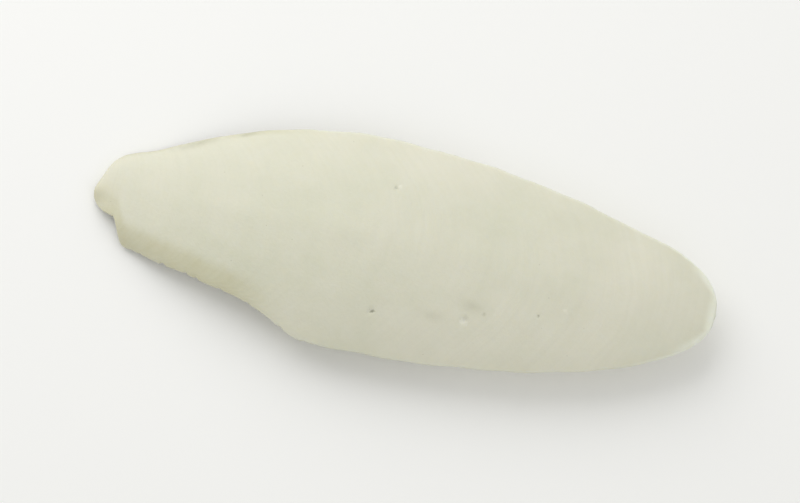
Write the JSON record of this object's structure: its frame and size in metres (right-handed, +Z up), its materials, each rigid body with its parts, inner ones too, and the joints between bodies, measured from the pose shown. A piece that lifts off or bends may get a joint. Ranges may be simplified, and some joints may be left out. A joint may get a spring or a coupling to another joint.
{
  "type": "cuttlebone",
  "caption": "Long oval chalky shell with a smooth domed upper side, a thin rim, a swollen chambered underside and a hollow rear end.",
  "frame": {"origin": "on the surface the bone lies on, under the middle of its length and width", "axes": "+X from the narrow rear tip to the rounded front end, +Z up out of the domed shield"},
  "size_m": [0.215, 0.0762, 0.024],
  "materials": {
    "bone": "matte"
  },
  "bodies": {
    "root": {"cuttlebone": "bone"}
  },
  "joints": []
}
